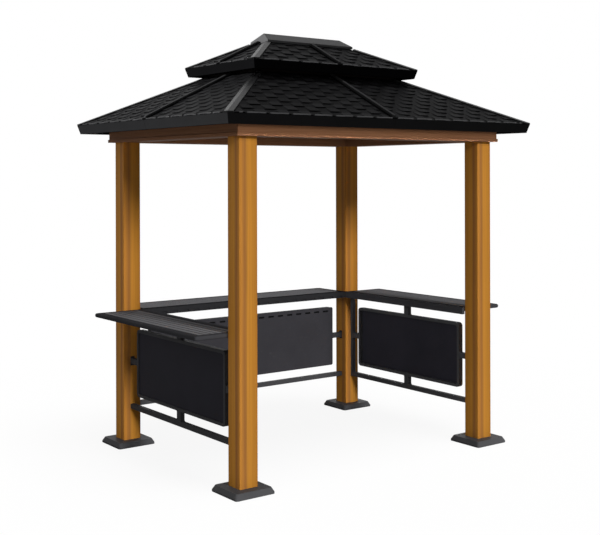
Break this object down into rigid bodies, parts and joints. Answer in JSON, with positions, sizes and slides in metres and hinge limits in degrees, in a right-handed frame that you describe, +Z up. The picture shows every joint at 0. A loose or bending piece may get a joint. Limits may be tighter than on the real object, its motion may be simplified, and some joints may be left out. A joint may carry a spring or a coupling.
{
  "type": "grill gazebo",
  "caption": "Free-standing grill shelter: square posts on bevelled feet, beam ring, two-tier hipped steel roof, serving shelves and framed panels on the closed sides, open front.",
  "frame": {"origin": "on the ground, at the centre of the building's box", "axes": "+Z up, +Y towards the back shelf, +X to the right seen from the open front"},
  "size_m": [2.49, 1.9494, 2.777],
  "materials": {
    "post_coat": "satin wood-grain coat",
    "beam_coat": "satin brown coat",
    "frame_coat": "matt dark brown coat",
    "roof_panel": "matt pressed shingle texture",
    "roof_edge": "satin",
    "roof_trim": "satin",
    "foot_steel": "satin textured coat",
    "shelf_steel": "satin textured coat",
    "rail_steel": "satin",
    "panel_sheet": "satin"
  },
  "bodies": {
    "root": {"foot_front_left": "foot_steel", "foot_front_right": "foot_steel", "foot_back_left": "foot_steel", "foot_back_right": "foot_steel", "post_front_left": "post_coat", "post_front_right": "post_coat", "post_back_left": "post_coat", "post_back_right": "post_coat", "beam_front": "beam_coat", "beam_back": "beam_coat", "beam_left": "beam_coat", "beam_right": "beam_coat", "lower_rafters": "frame_coat", "vent_frame_long": "frame_coat", "vent_frame_short": "frame_coat", "upper_rafters": "frame_coat", "lower_roof_front": "roof_panel", "lower_roof_back": "roof_panel", "lower_roof_left": "roof_panel", "lower_roof_right": "roof_panel", "lower_fascia_front": "roof_edge", "lower_fascia_back": "roof_edge", "lower_fascia_left": "roof_edge", "lower_fascia_right": "roof_edge", "upper_roof_front": "roof_panel", "upper_roof_back": "roof_panel", "upper_roof_left": "roof_panel", "upper_roof_right": "roof_panel", "upper_fascia": "roof_edge", "hip_caps": "roof_trim", "seam_strips": "roof_trim", "ridge_cap": "roof_trim", "shelf_left": "shelf_steel", "shelf_back": "shelf_steel", "shelf_right": "shelf_steel", "shelf_slats": "shelf_steel", "panel_frame_left": "rail_steel", "panel_frame_back": "rail_steel", "panel_frame_right": "rail_steel", "panel_sheet_left": "panel_sheet", "panel_sheet_back": "panel_sheet", "panel_sheet_right": "panel_sheet", "side_rail_left": "rail_steel", "side_rail_right": "rail_steel", "back_rail": "rail_steel"}
  },
  "joints": []
}
